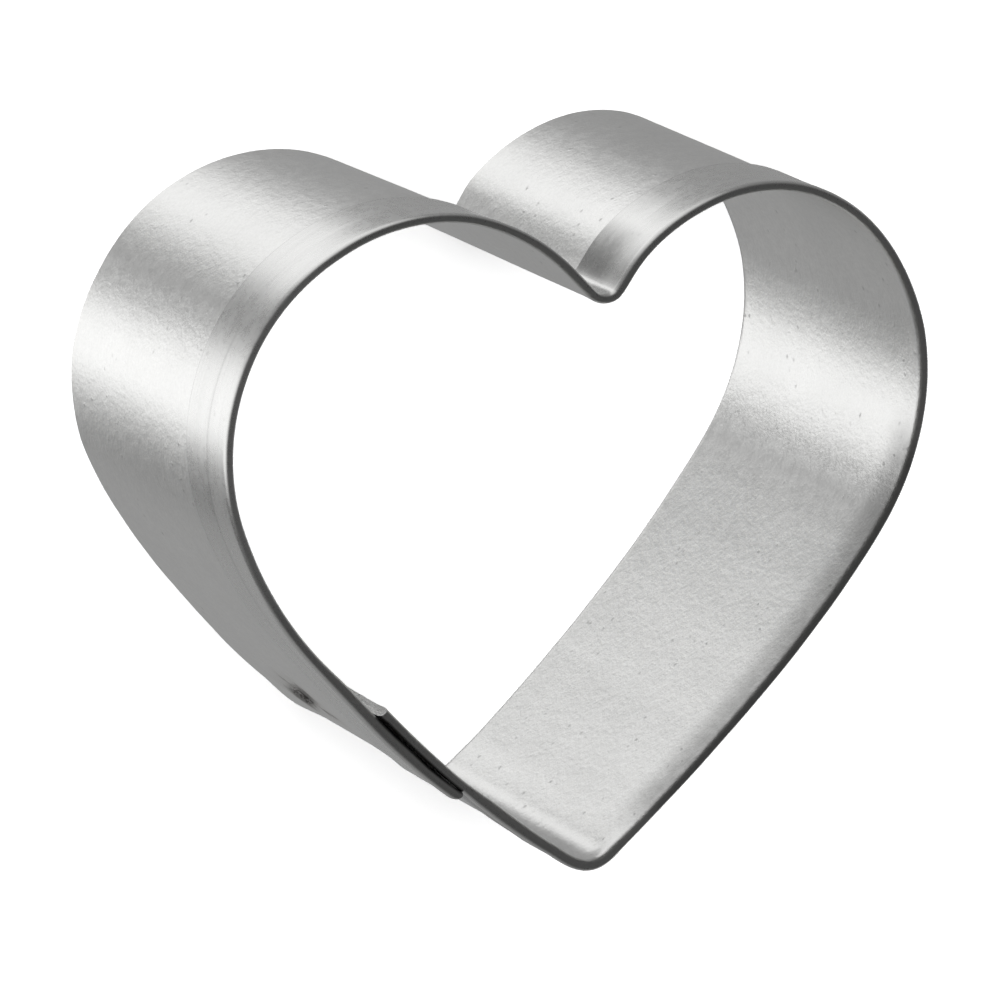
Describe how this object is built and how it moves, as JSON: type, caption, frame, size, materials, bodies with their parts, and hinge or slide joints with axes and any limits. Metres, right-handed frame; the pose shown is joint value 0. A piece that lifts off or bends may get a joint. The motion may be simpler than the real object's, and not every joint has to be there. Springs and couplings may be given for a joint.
{
  "type": "cookie cutter",
  "caption": "Heart-shaped cookie cutter bent from a hemmed strip of tin-plated steel, its ends lapped and spot welded.",
  "frame": {"origin": "middle of the cutter's outline, on the plane of the cutting edge", "axes": "+Z from the cutting edge to the hemmed rim, -Y to the tip of the heart, +X to the right seen from the rim"},
  "size_m": [0.051, 0.0452, 0.0254],
  "materials": {
    "tinplate": "satin tin plate with a fine mottled grain",
    "weld_metal": "dark, rough, heat-marked"
  },
  "bodies": {
    "root": {"hemmed_strip": "tinplate", "spot_weld": "weld_metal"}
  },
  "joints": []
}
